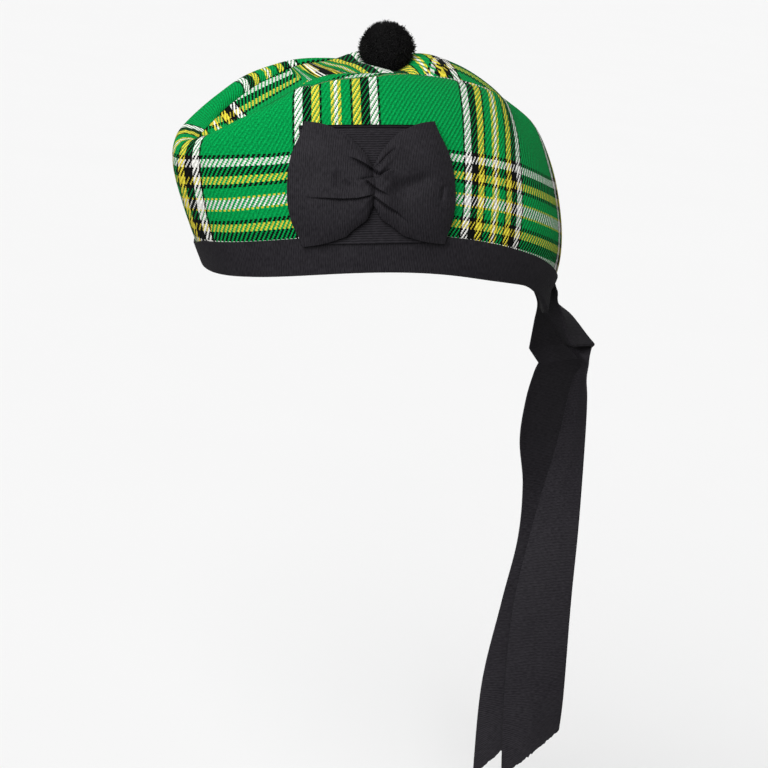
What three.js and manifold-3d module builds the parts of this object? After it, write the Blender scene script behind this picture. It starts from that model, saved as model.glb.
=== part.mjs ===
// A glengarry cap: two cloth sides and a sewn-in crown, folded fore and aft, with a ribbon
// bound over the rim, its two ends hanging as tails at the back, a ribbon rosette on the
// wearer's left and a wool toorie on top. Millimetres, +Z up, the front towards -Y and the
// wearer's left towards +X. The origin is the middle of the head opening, at rim height.
import * as THREE from 'three';
import { mergeVertices } from 'three/addons/utils/BufferGeometryUtils.js';
import Module from 'manifold-3d';

// Cloth and ribbon
const CLOTH = 2.0;
const RIBBON = 1.0;
const GAP = 0.3;
const BAND_HEIGHT = 18.5;
const BAND_BACK_HEIGHT = 11;
const BAND_BACK_FROM = 7.2;

// The rim that the head goes into, an oval that sweeps up over the ears
const RIM_FRONT = 104;
const RIM_BACK = 107;
const RIM_HALF_WIDTH = 79;
const RIM_EAR_SWEEP = 11;
const RIM_BACK_DROP = 7;
const RIM_ABOVE_BAND = 1.4;

// A crest whose crown seam lies ROLL_DROP below it is rolled right over, like a rope. The
// shares say how far across to the seam the roll keeps its height, when flat and when rolled.
const ROLL_DROP = 6;
const FLAT_SHARE = 0.5;
const ROPE_SHARE = 0.9;

// The toorie and the dimple that its stitches pull into the crown
const TOORIE_RADIUS = 15.4;
const TOORIE_Y = -8;
const TOORIE_SUNK = 1.2;
const TOORIE_LOCKS = 78;
const LOCK_LENGTH = 2.6;
const LOCK_RADIUS = 5.2;
const LOCK_UNEVENNESS = 0.35;
const LOCK_PHASE = 2.4;
const LOCK_SIDES = 5;
const LOCK_ROOT = 0.8;
const CORE_DETAIL = 2;
const DIMPLE_DEPTH = 11.5;
const DIMPLE_SPREAD = 10;

// Stations round one side, from the middle of the front to the middle of the back.
// angle: place on the rim, degrees from the front. crest: the top line of the side.
// seam: where the crown is sewn to the side, inside the rolled crest.
// flare, lift: how far the side leans out and rises as it leaves the rim.
// shoulder: how broadly the side turns in to the crest.
// rise, point: the crown's height at mid width over the seam, and how rounded its section is.
const STATION_COLUMNS = [
  'angle', 'crestX', 'crestY', 'crestZ', 'seamX', 'seamY', 'seamZ',
  'flare', 'lift', 'shoulder', 'rise', 'point',
];
const STATIONS = [
  [0, 0, -123, 68, 0, -118.5, 67.4, 13, 26, 20, 0, 1.5],
  [7, 10, -121, 70.8, 5, -115.5, 69.2, 12.5, 26, 17, -2, 1.5],
  [17, 18, -116, 75.5, 11.5, -108.5, 73.5, 11, 28, 12, -4.5, 1.5],
  [38, 28.5, -93, 91.7, 22, -90.5, 86, 7, 34, 12.5, -8, 1.5],
  [58, 34.5, -63.6, 106.7, 28.5, -62.5, 102.5, 4, 40, 14, -8, 1.6],
  [78, 35, -28.6, 113.3, 31.5, -28.6, 112.8, 3, 44, 16, 4, 2],
  [98, 31.1, 6.4, 112.4, 28.5, 6.4, 112.8, 4, 44, 18, 9, 2],
  [121, 23.5, 36.4, 108.8, 21.5, 36.4, 109.6, 7, 42, 22, 8.5, 2],
  [148, 12.3, 61.4, 102, 11, 61.4, 102.8, 12.5, 38, 23.5, 3.5, 2],
  [180, 0, 78.4, 95.5, 0, 77.6, 96.2, 17, 36, 25.5, 0, 2],
];
const LAST = STATIONS.length - 1;

// The two tails, from the band's end down to the slanted cut, a row for each bend.
// x, y, z: middle of the ribbon. width: its width there, narrow where it is folded.
// heading: plan direction across the ribbon, degrees. tilt: how far that direction rises.
const TAIL_COLUMNS = ['x', 'y', 'z', 'width', 'heading', 'tilt'];
const TAIL_LEFT = [
  [3.6, 110.6, -11.8, 10, 90, 70],
  [5, 117.5, -17, 15, 61, 64],
  [5.5, 124, -29, 19, 61, 58],
  [6, 136.5, -41, 20, 61, -2],
  [12, 138, -50, 22, 100, 0],
  [17, 138.5, -61, 26, 140, 0],
  [18, 137, -94, 35, 131, 0],
  [16.5, 134.2, -138, 38, 110, 0],
  [15.5, 131.8, -182, 38, 92, 0],
  [15, 130, -217, 38, 82, 0],
  [15, 130, -262, 38, 70, 0],
  [15.5, 130, -301, 44, 62, 30],
];
const TAIL_RIGHT = [
  [-3.6, 110.6, -11.8, 10, 90, 70],
  [-7, 116, -23, 17, 85, 72],
  [-10, 125, -39, 24, 61, 42],
  [-11.5, 136, -54, 33, 61, 8],
  [-10.5, 139, -72, 37, 61, 0],
  [-9.5, 137.5, -100, 38, 60, 0],
  [-7.5, 141, -140, 38, 58, 0],
  [-8, 140, -180, 38, 62, 0],
  [-9.5, 137, -221, 38, 64, 0],
  [-12, 132.6, -262, 38, 62, 0],
  [-12, 132.5, -306, 43, 61, 28],
];

// The rosette: a flat backing ribbon and a bow laid over it, bent to the cap's left side
const ROSETTE_STATION = 4.42;
const ROSETTE_HEIGHT = 40.5;
const ROSETTE_TILT = 5;
const BACKING_HALF_WIDTH = 38;
const BACKING_TOP = 37;
const BACKING_BOTTOM = -27;
const BOW_CLEARANCE = 0.9;
const BOW_PUFF = 4.2;
const KNOT_PUFF = 5.5;
const KNOT_SPREAD = 0.2;
const WING_EDGE_FALL = 0.75;
const KNOT_EDGE_FALL = 0.6;
// The bow's ends by height, and its upper and lower edges by reach from the knot. The first
// column is in parts of the bow's half size, the others in millimetres.
const BOW_SIDE_COLUMNS = ['height', 'frontReach', 'backReach'];
const BOW_SIDES = [
  [-1, 40, 42],
  [-0.5, 43.5, 45.5],
  [0, 45.5, 47],
  [0.5, 43.5, 45],
  [1, 35.5, 36],
];
const BOW_EDGE_COLUMNS = ['reach', 'above', 'below'];
const BOW_EDGES = [
  [0, 8, 8],
  [0.2, 22, 17.5],
  [0.4, 34.5, 24.5],
  [0.7, 38, 27],
  [1, 39, 28],
];

const FABRIC = {
  tartan: { color: 0x0e7a3c, roughness: 0.9 },
  ribbon: { color: 0x1e1d20, roughness: 0.75 },
  wool: { color: 0x0b0a0b, roughness: 1.0 },
};

// How finely the cloth is faceted: the sides in columns from front to back and in rows from
// the rim, through the band's rows, to the crest and over it to the seam
const COLUMNS_PER_SIDE = 36;
const BAND_ROWS = [0.5, 1];
const OVER_BAND = 0.15;
const SIDE_STEPS = 3;
const UNDER_CREST = 0.8;
const CREST_ROWS = [0.9, 1, 1.4, 2];
const CROWN_ROWS = 34;
const CROWN_COLUMNS = 10;
const STEPS_PER_BEND = 3;
const TAIL_STEPS_ACROSS = 4;
const BACKING_STEPS = [12, 8];
const BOW_STEPS = [22, 10];

// How far short of the end stations the crown's tips and the band's ends stop
const CROWN_FRONT_TIP = 0.5;
const CROWN_BACK_TIP = 0.3;
const BAND_END = 0.02;

// Small parameter steps for slopes, and places just inside an edge where they are taken
const SLOPE_STEP = 1e-3;
const RIM_INSET = 0.002;
const RIM_STEP = 0.02;
const SEAM_W = 1.99;
const SEAM_Q = -0.98;
const TAIL_INSET = 0.01;

const wasm = await Module();
wasm.setup();

// A smooth curve through table rows: the value of each column at a fractional row number
function splineRow(rowAt, at) {
  const i = Math.floor(at);
  const f = at - i;
  const [a, b, c, d] = [rowAt(i - 1), rowAt(i), rowAt(i + 1), rowAt(i + 2)];
  return b.map((value, k) => {
    const pull = c[k] - a[k];
    const bend = 2 * a[k] - 5 * value + 4 * c[k] - d[k];
    const ease = 3 * (value - c[k]) + d[k] - a[k];
    return value + 0.5 * f * (pull + f * (bend + f * ease));
  });
}

function named(columns, values) {
  return Object.fromEntries(columns.map((name, k) => [name, values[k]]));
}

function tableAt(columns, table, at) {
  const row = (i) => table[Math.min(Math.max(i, 0), table.length - 1)];
  return named(columns, splineRow(row, at));
}

// A table read by its first column, which rises from row to row
function tableBy(columns, table, key) {
  const i = Math.max(0, table.findIndex((row, k) => k + 1 === table.length - 1 || key < table[k + 1][0]));
  const f = (key - table[i][0]) / (table[i + 1][0] - table[i][0]);
  return tableAt(columns, table, i + f);
}

// Stations carry on past the front and the back as the mirror image of the side
function stationRow(i) {
  const loop = 2 * LAST;
  const turn = Math.floor(i / loop);
  const k = i - turn * loop;
  const mirrored = k > LAST;
  const row = [...STATIONS[mirrored ? loop - k : k]];
  row[0] = (mirrored ? 360 - row[0] : row[0]) + 360 * turn;
  if (mirrored) {
    row[1] *= -1;
    row[4] *= -1;
  }
  return row;
}

function station(t) {
  return named(STATION_COLUMNS, splineRow(stationRow, t));
}

function rimPoint(angle) {
  const a = THREE.MathUtils.degToRad(angle);
  const reach = Math.cos(a) > 0 ? RIM_FRONT : RIM_BACK;
  const z = RIM_BACK_DROP * Math.cos(a) - RIM_EAR_SWEEP * Math.cos(2 * a) + RIM_ABOVE_BAND;
  return new THREE.Vector3(RIM_HALF_WIDTH * Math.sin(a), -reach * Math.cos(a), z);
}

function rimOutward(angle) {
  const a = THREE.MathUtils.degToRad(angle);
  const reach = Math.cos(a) > 0 ? RIM_FRONT : RIM_BACK;
  return new THREE.Vector3(Math.sin(a) / RIM_HALF_WIDTH, -Math.cos(a) / reach, 0).normalize();
}

// The side's outer face: w from 0 at the rim to 1 at the crest, then to 2 at the crown seam
function sidePoint(t, w) {
  const s = station(t);
  const rim = rimPoint(s.angle);
  const out = rimOutward(s.angle);
  const crest = new THREE.Vector3(s.crestX, s.crestY, s.crestZ);
  if (w <= 1) {
    const low = rim.clone().addScaledVector(out, s.flare).setZ(rim.z + s.lift);
    const high = crest.clone().addScaledVector(out, s.shoulder);
    return new THREE.CubicBezierCurve3(rim, low, high, crest).getPoint(w);
  }
  const seam = new THREE.Vector3(s.seamX, s.seamY, s.seamZ);
  const turnedDown = THREE.MathUtils.clamp((crest.z - seam.z) / ROLL_DROP, 0, 1);
  const share = THREE.MathUtils.lerp(FLAT_SHARE, ROPE_SHARE, turnedDown);
  const over = crest.clone().lerp(seam, share).setZ(crest.z);
  return new THREE.QuadraticBezierCurve3(crest, over, seam).getPoint(w - 1);
}

// The crown's outer face: q from -1 at the left seam to 1 at the right one
function crownPoint(t, q) {
  const s = station(t);
  const x = -s.seamX * q;
  const r2 = x * x + (s.seamY - TOORIE_Y) ** 2;
  const dimple = DIMPLE_DEPTH * Math.exp(-r2 / (2 * DIMPLE_SPREAD ** 2));
  const arch = s.rise * (1 - Math.min(Math.abs(q), 1) ** s.point);
  return new THREE.Vector3(x, s.seamY, s.seamZ + arch - dimple);
}

// The unit normal of a surface, from small steps along its two parameters
function normalOf(surface, u, v) {
  const du = surface(u + SLOPE_STEP, v).sub(surface(u - SLOPE_STEP, v));
  const dv = surface(u, v + SLOPE_STEP).sub(surface(u, v - SLOPE_STEP));
  return du.cross(dv).normalize();
}

// The direction through the cloth at the left crown seam, shared by the side and the crown
function seamNormal(t) {
  return normalOf(sidePoint, t, SEAM_W).add(normalOf(crownPoint, t, SEAM_Q)).normalize();
}

// A closed solid between two grids of points that run side by side
function sheetSolid(outer, inner) {
  const rows = outer.length;
  const cols = outer[0].length;
  const positions = [...outer.flat(), ...inner.flat()].flatMap((p) => p.toArray());
  const at = (i, j, side) => side * rows * cols + i * cols + j;
  const index = [];
  const quad = (a, b, c, d) => index.push(a, b, c, a, c, d);
  for (let i = 0; i + 1 < rows; i += 1) {
    for (let j = 0; j + 1 < cols; j += 1) {
      quad(at(i, j, 0), at(i + 1, j, 0), at(i + 1, j + 1, 0), at(i, j + 1, 0));
      quad(at(i, j, 1), at(i, j + 1, 1), at(i + 1, j + 1, 1), at(i + 1, j, 1));
    }
    quad(at(i, 0, 0), at(i, 0, 1), at(i + 1, 0, 1), at(i + 1, 0, 0));
    quad(at(i, cols - 1, 0), at(i + 1, cols - 1, 0), at(i + 1, cols - 1, 1), at(i, cols - 1, 1));
  }
  for (let j = 0; j + 1 < cols; j += 1) {
    quad(at(0, j, 0), at(0, j + 1, 0), at(0, j + 1, 1), at(0, j, 1));
    quad(at(rows - 1, j, 0), at(rows - 1, j, 1), at(rows - 1, j + 1, 1), at(rows - 1, j + 1, 0));
  }
  const geometry = new THREE.BufferGeometry();
  geometry.setAttribute('position', new THREE.Float32BufferAttribute(positions, 3));
  geometry.setIndex(index);
  return facedOutward(geometry);
}

// Turns a closed mesh right side out if its signed volume is negative
function facedOutward(geometry) {
  const p = geometry.attributes.position;
  const index = geometry.index.array;
  const [a, b, c] = [new THREE.Vector3(), new THREE.Vector3(), new THREE.Vector3()];
  let volume = 0;
  for (let k = 0; k < index.length; k += 3) {
    a.fromBufferAttribute(p, index[k]);
    b.fromBufferAttribute(p, index[k + 1]);
    c.fromBufferAttribute(p, index[k + 2]);
    volume += a.dot(b.cross(c));
  }
  if (volume < 0) geometry.setIndex([...index].reverse());
  return geometry;
}

function steps(count, from, to) {
  return Array.from({ length: count + 1 }, (_, k) => from + ((to - from) * k) / count);
}

// The band's height over the rim, less at the back where the ribbon turns down
function bandTop(t) {
  const drop = THREE.MathUtils.smoothstep(Math.abs(t), BAND_BACK_FROM, LAST);
  return THREE.MathUtils.lerp(BAND_HEIGHT, BAND_BACK_HEIGHT, drop);
}

// One side of the cap; mirror is 1 for the wearer's left and -1 for the right
function sideGeometry(mirror) {
  const columns = steps(COLUMNS_PER_SIDE, 0, LAST);
  const outer = [];
  const inner = [];
  for (const t of columns) {
    const low = [0, ...BAND_ROWS.map((part) => heightToW(t, part * bandTop(t)))];
    const rows = [...low, ...steps(SIDE_STEPS, low.at(-1) + OVER_BAND, UNDER_CREST), ...CREST_ROWS];
    const face = rows.map((w) => sidePoint(t, w));
    const back = rows.map((w, k) => {
      const normal = w < 2 ? normalOf(sidePoint, t, Math.max(w, RIM_INSET)) : seamNormal(t);
      return face[k].clone().addScaledVector(normal, -CLOTH);
    });
    const top = face.length - 1;
    const shrink = face[top - 1].clone().sub(face[top]).setLength(GAP / 2);
    face[top].add(shrink);
    back[top].add(shrink);
    for (const p of [...face, ...back]) p.x = mirror * Math.max(p.x, GAP / 2);
    outer.push(face);
    inner.push(back);
  }
  return sheetSolid(outer, inner);
}

// The crown's face raised by off, a grid from the front tip to the back tip
function crownFace(off) {
  return steps(CROWN_ROWS, CROWN_FRONT_TIP, LAST - CROWN_BACK_TIP).map((t) => {
    const edge = 1 - GAP / 2 / station(t).seamX;
    return steps(CROWN_COLUMNS, -edge, edge).map((q, k) => {
      const atSeam = k === 0 || k === CROWN_COLUMNS;
      const normal = atSeam ? seamNormal(t) : normalOf(crownPoint, t, q);
      if (k === CROWN_COLUMNS) normal.x *= -1;
      return crownPoint(t, q).addScaledVector(normal, off);
    });
  });
}

// The height of the crown's middle line at a place from front to back
function crownHeight(y) {
  const rounds = 30;
  let [low, high] = [0, LAST];
  for (let k = 0; k < rounds; k += 1) {
    const t = (low + high) / 2;
    if (station(t).seamY < y) low = t;
    else high = t;
  }
  return crownPoint(low, 0).z;
}

// How far along w the side's face is a given length above the rim
function heightToW(t, height) {
  const rim = sidePoint(t, 0);
  const rounds = 6;
  let w = BAND_ROWS[0] / 2;
  for (let k = 0; k < rounds; k += 1) w *= height / sidePoint(t, w).distanceTo(rim);
  return w;
}

// The ribbon folded over the rim, open only where its two ends meet at the back
function bandGeometry() {
  const heights = [...BAND_ROWS].reverse().concat(0);
  const outer = [];
  const inner = [];
  for (const column of steps(2 * COLUMNS_PER_SIDE, -LAST, LAST)) {
    const t = THREE.MathUtils.clamp(column, BAND_END - LAST, LAST - BAND_END);
    const top = bandTop(t);
    const side = (height, off) => {
      const w = height > 0 ? heightToW(t, height * top) : 0;
      return sidePoint(t, w).addScaledVector(normalOf(sidePoint, t, Math.max(w, RIM_INSET)), off);
    };
    const up = sidePoint(t, RIM_STEP).sub(sidePoint(t, 0)).normalize();
    const loop = (clear) => [
      ...heights.map((h) => side(h, clear)),
      side(0, -CLOTH / 2).addScaledVector(up, -clear),
      ...[...heights].reverse().map((h) => side(h, -CLOTH - clear)),
    ];
    outer.push(loop(GAP + RIBBON));
    inner.push(loop(GAP));
    for (const row of [outer.at(-1), inner.at(-1)]) {
      for (const corner of [heights.length - 1, heights.length + 1]) row[corner].addScaledVector(up, -GAP / 2);
    }
  }
  return sheetSolid(outer, inner);
}

function tailPoint(table, at, q) {
  const row = tableAt(TAIL_COLUMNS, table, at);
  const heading = THREE.MathUtils.degToRad(row.heading);
  const tilt = THREE.MathUtils.degToRad(row.tilt);
  const across = new THREE.Vector3(
    Math.cos(tilt) * Math.cos(heading),
    Math.cos(tilt) * Math.sin(heading),
    Math.sin(tilt),
  );
  return new THREE.Vector3(row.x, row.y, row.z).addScaledVector(across, q * row.width * 0.5);
}

function tailGeometry(table) {
  const last = table.length - 1;
  const surface = (at, q) => tailPoint(table, at, q);
  const places = steps(STEPS_PER_BEND * last, 0, last);
  const face = (off) => places.map((at) => steps(TAIL_STEPS_ACROSS, -1, 1).map((q) => {
    const inside = THREE.MathUtils.clamp(at, TAIL_INSET, last - TAIL_INSET);
    return surface(at, q).addScaledVector(normalOf(surface, inside, q), off);
  }));
  return sheetSolid(face(RIBBON / 2), face(-RIBBON / 2));
}

// The flat of the rosette: its middle on the cap's left side, and its own level and upright
const rosetteW = heightToW(ROSETTE_STATION, ROSETTE_HEIGHT);
const rosetteMiddle = sidePoint(ROSETTE_STATION, rosetteW);
const rosetteFacing = normalOf(sidePoint, ROSETTE_STATION, rosetteW);
const rosetteAlong = new THREE.Vector3(0, 0, 1).cross(rosetteFacing).normalize();
rosetteAlong.applyAxisAngle(rosetteFacing, THREE.MathUtils.degToRad(ROSETTE_TILT));
const rosetteUp = rosetteFacing.clone().cross(rosetteAlong);

// The point of the rosette a along and b up its flat, laid on the side and then raised
function rosettePoint(a, b, raise) {
  let t = ROSETTE_STATION;
  let w = rosetteW;
  const rounds = 5;
  const flat = (u, v) => {
    const p = sidePoint(u, v).sub(rosetteMiddle);
    return [p.dot(rosetteAlong), p.dot(rosetteUp)];
  };
  for (let k = 0; k < rounds; k += 1) {
    const here = flat(t, w);
    const byT = flat(t + SLOPE_STEP, w).map((value, i) => (value - here[i]) / SLOPE_STEP);
    const byW = flat(t, w + SLOPE_STEP).map((value, i) => (value - here[i]) / SLOPE_STEP);
    const det = byT[0] * byW[1] - byT[1] * byW[0];
    const [da, db] = [a - here[0], b - here[1]];
    t += (da * byW[1] - db * byW[0]) / det;
    w += (db * byT[0] - da * byT[1]) / det;
  }
  return sidePoint(t, w).addScaledVector(rosetteFacing, raise);
}

// Where the rosette crosses the band's top edge it lies over the ribbon there
const ROSETTE_LIFT = 2 * GAP + RIBBON;

function backingGeometry() {
  const [along, up] = BACKING_STEPS;
  const face = (raise) => steps(along, -1, 1).map((p) => steps(up, 0, 1).map((q) => rosettePoint(
    p * BACKING_HALF_WIDTH,
    BACKING_BOTTOM + q * (BACKING_TOP - BACKING_BOTTOM),
    raise,
  )));
  return sheetSolid(face(ROSETTE_LIFT + RIBBON), face(ROSETTE_LIFT));
}

function bowGeometry() {
  const [along, up] = BOW_STEPS;
  const face = (raise) => steps(along, -1, 1).map((p) => steps(up, -1, 1).map((q) => {
    const reach = tableBy(BOW_SIDE_COLUMNS, BOW_SIDES, q);
    const edge = tableBy(BOW_EDGE_COLUMNS, BOW_EDGES, Math.abs(p));
    const a = p * (p < 0 ? reach.frontReach : reach.backReach);
    const b = q * (q < 0 ? edge.below : edge.above);
    const wing = Math.sin(Math.PI * Math.min(1, Math.abs(p))) * (1 - WING_EDGE_FALL * q * q);
    const knot = Math.exp(-((p / KNOT_SPREAD) ** 2)) * (1 - KNOT_EDGE_FALL * q * q);
    return rosettePoint(a, b, raise + BOW_PUFF * wing + KNOT_PUFF * knot);
  }));
  const low = ROSETTE_LIFT + RIBBON + BOW_CLEARANCE;
  return sheetSolid(face(low + RIBBON), face(low));
}

function toManifold(geometry) {
  geometry.deleteAttribute('normal');
  geometry.deleteAttribute('uv');
  const merged = mergeVertices(geometry, 1e-4);
  return new wasm.Manifold(new wasm.Mesh({
    numProp: 3,
    vertProperties: new Float32Array(merged.attributes.position.array),
    triVerts: new Uint32Array(merged.index.array),
  }));
}

function fromManifold(solid) {
  const mesh = solid.getMesh();
  const geometry = new THREE.BufferGeometry();
  geometry.setAttribute('position', new THREE.BufferAttribute(mesh.vertProperties, 3));
  geometry.setIndex(new THREE.BufferAttribute(mesh.triVerts, 1));
  return geometry;
}

// A dense ball of wool: short locks spread evenly over a core and fused to it, and pressed to
// the shape of the crown where it is sewn down
function toorieGeometry() {
  const core = TOORIE_RADIUS - LOCK_LENGTH * LOCK_ROOT;
  const turn = Math.PI * (3 - Math.sqrt(5));
  const up = new THREE.Vector3(0, 1, 0);
  const middle = new THREE.Vector3(0, TOORIE_Y, crownHeight(TOORIE_Y) + TOORIE_RADIUS - TOORIE_SUNK);
  let ball = toManifold(new THREE.IcosahedronGeometry(core, CORE_DETAIL));
  for (let k = 0; k < TOORIE_LOCKS; k += 1) {
    const z = 1 - (2 * (k + 0.5)) / TOORIE_LOCKS;
    const ring = Math.sqrt(1 - z * z);
    const away = new THREE.Vector3(ring * Math.cos(turn * k), ring * Math.sin(turn * k), z);
    const reach = TOORIE_RADIUS - LOCK_LENGTH + LOCK_UNEVENNESS * Math.sin(LOCK_PHASE * k);
    const lock = new THREE.ConeGeometry(LOCK_RADIUS, 2 * LOCK_LENGTH, LOCK_SIDES, 1);
    lock.applyQuaternion(new THREE.Quaternion().setFromUnitVectors(up, away));
    lock.translate(...away.multiplyScalar(reach).toArray());
    ball = ball.add(toManifold(lock));
  }
  const lap = crownFace(2 * GAP);
  const below = lap.map((row) => row.map((p) => p.clone().setZ(p.z - 2 * TOORIE_RADIUS)));
  const bed = toManifold(sheetSolid(lap, below));
  return fromManifold(ball.translate(middle.toArray()).subtract(bed));
}

const cap = new THREE.Group();
cap.name = 'glengarry_cap';

function addPiece(name, geometry, fabric) {
  geometry.computeVertexNormals();
  const mesh = new THREE.Mesh(geometry, new THREE.MeshStandardMaterial({ ...FABRIC[fabric], metalness: 0 }));
  mesh.name = name;
  cap.add(mesh);
  return mesh;
}

addPiece('left_side', sideGeometry(1), 'tartan');
addPiece('right_side', sideGeometry(-1), 'tartan');
addPiece('crown', sheetSolid(crownFace(0), crownFace(-CLOTH)), 'tartan');
addPiece('band', bandGeometry(), 'ribbon');
addPiece('tail_left', tailGeometry(TAIL_LEFT), 'ribbon');
addPiece('tail_right', tailGeometry(TAIL_RIGHT), 'ribbon');
addPiece('rosette_backing', backingGeometry(), 'ribbon');
addPiece('rosette_bow', bowGeometry(), 'ribbon');
addPiece('toorie', toorieGeometry(), 'wool');

export default cap;
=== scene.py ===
"""Dresses a glengarry cap: tartan sides and crown, a grosgrain band with two tails, a ribbon
rosette and a wool toorie, on a plain studio floor.

The tables are in millimetres, with the front of the cap towards -Y, the wearer's left towards
+X and the origin in the middle of the head opening. Meshes are laid in metres in that frame.
"""
import functools
import math

import bpy
import numpy as np
from mathutils import Matrix, Vector


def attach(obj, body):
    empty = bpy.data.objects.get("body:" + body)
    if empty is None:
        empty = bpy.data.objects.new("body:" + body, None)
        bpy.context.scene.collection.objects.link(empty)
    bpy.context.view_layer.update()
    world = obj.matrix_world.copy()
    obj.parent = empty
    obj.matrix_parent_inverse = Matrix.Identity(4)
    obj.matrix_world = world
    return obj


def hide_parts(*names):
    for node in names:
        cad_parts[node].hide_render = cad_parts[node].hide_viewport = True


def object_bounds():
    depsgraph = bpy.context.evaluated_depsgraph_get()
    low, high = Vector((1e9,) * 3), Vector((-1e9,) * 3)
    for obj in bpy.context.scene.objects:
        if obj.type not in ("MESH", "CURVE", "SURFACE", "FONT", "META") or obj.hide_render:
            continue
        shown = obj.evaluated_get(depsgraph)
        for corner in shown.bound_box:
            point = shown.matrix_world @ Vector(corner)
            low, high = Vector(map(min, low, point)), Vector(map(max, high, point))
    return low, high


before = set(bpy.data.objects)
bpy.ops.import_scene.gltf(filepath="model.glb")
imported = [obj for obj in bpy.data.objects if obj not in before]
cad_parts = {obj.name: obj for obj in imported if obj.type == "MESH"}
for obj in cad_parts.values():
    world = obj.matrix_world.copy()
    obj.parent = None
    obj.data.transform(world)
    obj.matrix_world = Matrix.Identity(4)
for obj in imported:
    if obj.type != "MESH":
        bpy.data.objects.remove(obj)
cad_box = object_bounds()

bl_info = {
    "name": "Glengarry Cap",
    "version": (1, 0, 0),
    "blender": (4, 5, 0),
    "location": "View3D > Sidebar > Cap",
    "description": "Weaves, binds and trims a glengarry cap over its packed solids",
    "category": "Object",
}

MM = 0.001

# Cloth and ribbon thickness, the ribbon's width and the clearance between layers
CLOTH = 2.0
RIBBON = 1.0
RIBBON_WIDTH = 38
GAP = 0.3

# The rim that the head goes into, drawn up towards the back between two stations
RIM_FRONT = 104
RIM_BACK = 107
RIM_HALF_WIDTH = 79
RIM_EAR_SWEEP = 11
RIM_BACK_DROP = 7
RIM_ABOVE_BAND = 1.4
RIM_BACK_LIFT = 5
RIM_LIFT_STATIONS = (6.3, 8.6)

# The band's height over the rim, and the rows of points down its faces, as shares of that height
BAND_HEIGHT = 18.5
BAND_BACK_HEIGHT = 11
BAND_BACK_FROM = 7.2
BAND_ROWS = np.array([1, 0.94, 0.8, 0.65, 0.5, 0.35, 0.2, 0.08, 0])
# How much lower the band's top lies round the far side of the front, and at which stations
BAND_FAR_DIP = 7.7
BAND_DIP_STATIONS = (-6, -3.2, -2.2, 1)
# How far the fold hangs below the rim, and where it is drawn tight
BAND_HANG = 1.5
BAND_TIGHT_STATIONS = (6, 7.4)
# How far the ribbon turns down at its left end, and where; half the opening between its ends
BAND_TURN_DOWN = 12.5
BAND_TURN_STATIONS = (7.1, 8.4, 8.45, 8.75)
BAND_OPENING = 0.02

# A crest is rolled right over, like a rope, where its seam lies this far below it
ROLL_DROP = 6
# How far from crest to seam the top of the turn lies, on a flat crest and on a rolled one
ROLL_FLAT = 0.5
ROLL_TURNED = 0.9

# Stations round one side from the middle of the front to the middle of the back: angle on the
# rim, crest x y z, crown seam x y z, flare, lift, shoulder, crown rise, crown roundness
STATIONS = np.array([
    [0, 0, -123, 68, 0, -118.5, 67.4, 17, 29, 20, 0, 1.5],
    [7, 10, -121, 70.8, 5, -115.5, 69.2, 16, 29, 17, -2, 1.5],
    [17, 18, -116, 75.5, 11.5, -108.5, 73.5, 13, 30, 12, -4.5, 1.5],
    [38, 28.5, -93, 91.7, 22, -90.5, 86, 7, 34, 12.5, -8, 1.5],
    [58, 34.5, -63.6, 109.4, 28.5, -62.5, 105, 4, 40, 14, -8, 1.6],
    [78, 35, -28.6, 113.3, 31.5, -28.6, 112.8, 3, 44, 16, 4, 2],
    [98, 31.1, 6.4, 112.4, 28.5, 6.4, 112.8, 4, 44, 18, 10.7, 2],
    [121, 23.5, 36.4, 108.8, 21.5, 36.4, 109.6, 7, 42, 22, 8.5, 2],
    [148, 12.3, 61.4, 102, 11, 61.4, 102.8, 16.5, 43, 12, 3.5, 2],
    [180, 0, 78.4, 92.5, 0, 77.6, 93.2, 19.5, 36, 26, 0, 2],
])
LAST = len(STATIONS) - 1
# The far crest sags by this much round this station
FAR_SAG = 2.6
FAR_SAG_STATION = 3.95
FAR_SAG_SPREAD = 0.55

# The slack that lets the sides ripple: how deep, where in w and in what lengths of wave
SLACK = 0.35
SLACK_REACH = (0.2, 0.5, 1.3, 1.8)
SLACK_WAVES = (31, 43, 57, 74)
# Half the joint between the two sides at the front and the back
HALF_JOINT = 0.03

# The toorie, how deep it sits in the crown and how lumpy it is
TOORIE_RADIUS = 15.4
TOORIE_Y = -8
TOORIE_SUNK = 2.2
TOORIE_LUMPS = 0.7
# Its strands: how they scatter, lean and differ in length, and a few that stray further out
STRAND_SCATTER = 0.05
STRAND_LEAN = 0.16
STRAND_INSET = 0.5
STRAND_UNEVEN = 0.4
STRAY_SHARE = 0.012
STRAY_REACH = (0.4, 1.6)
# A strand's root as a share of the toorie's radius, its sides, its sections (share of its length
# and radius), and a push that keeps a section's first direction off the strand's own
STRAND_ROOT = 0.62
STRAND_SIDES = 3
STRAND_SECTIONS = [(0, 0.42), (0.55, 0.36), (1, 0.12)]
STRAND_ASIDE = (0.31, 0.17, 0.05)
# The core under them: its share of the radius, and how far its rings stop short of the poles
CORE_SHARE = 0.86
CORE_TIP = 0.02
# Ways in which a longer tuft of its wool sticks out, by how much and how widely
TOORIE_TUFTS = [(-0.48, -0.87, -0.28), (0.48, 0.87, -0.05), (0.48, 0.87, 0.3)]
TUFT_REACH = 1.8
TUFT_SPREAD = 0.012
# The dimple that its stitches pull into the crown, wider on the left
DIMPLE_DEPTH = 11.5
DIMPLE_SPREAD = 10
DIMPLE_SPREAD_LEFT = 16
# Tucks that the stitches draw in the crown beside it: place x y, spread x y, height
CROWN_TUCKS = [(-20, -13, 9, 7, 3.2), (-16, -33, 12, 6, -1.8)]
# Stations by which the crown stops short at the front and at the back
CROWN_FRONT_TIP = 0.5
CROWN_BACK_TIP = 0.3

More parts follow.
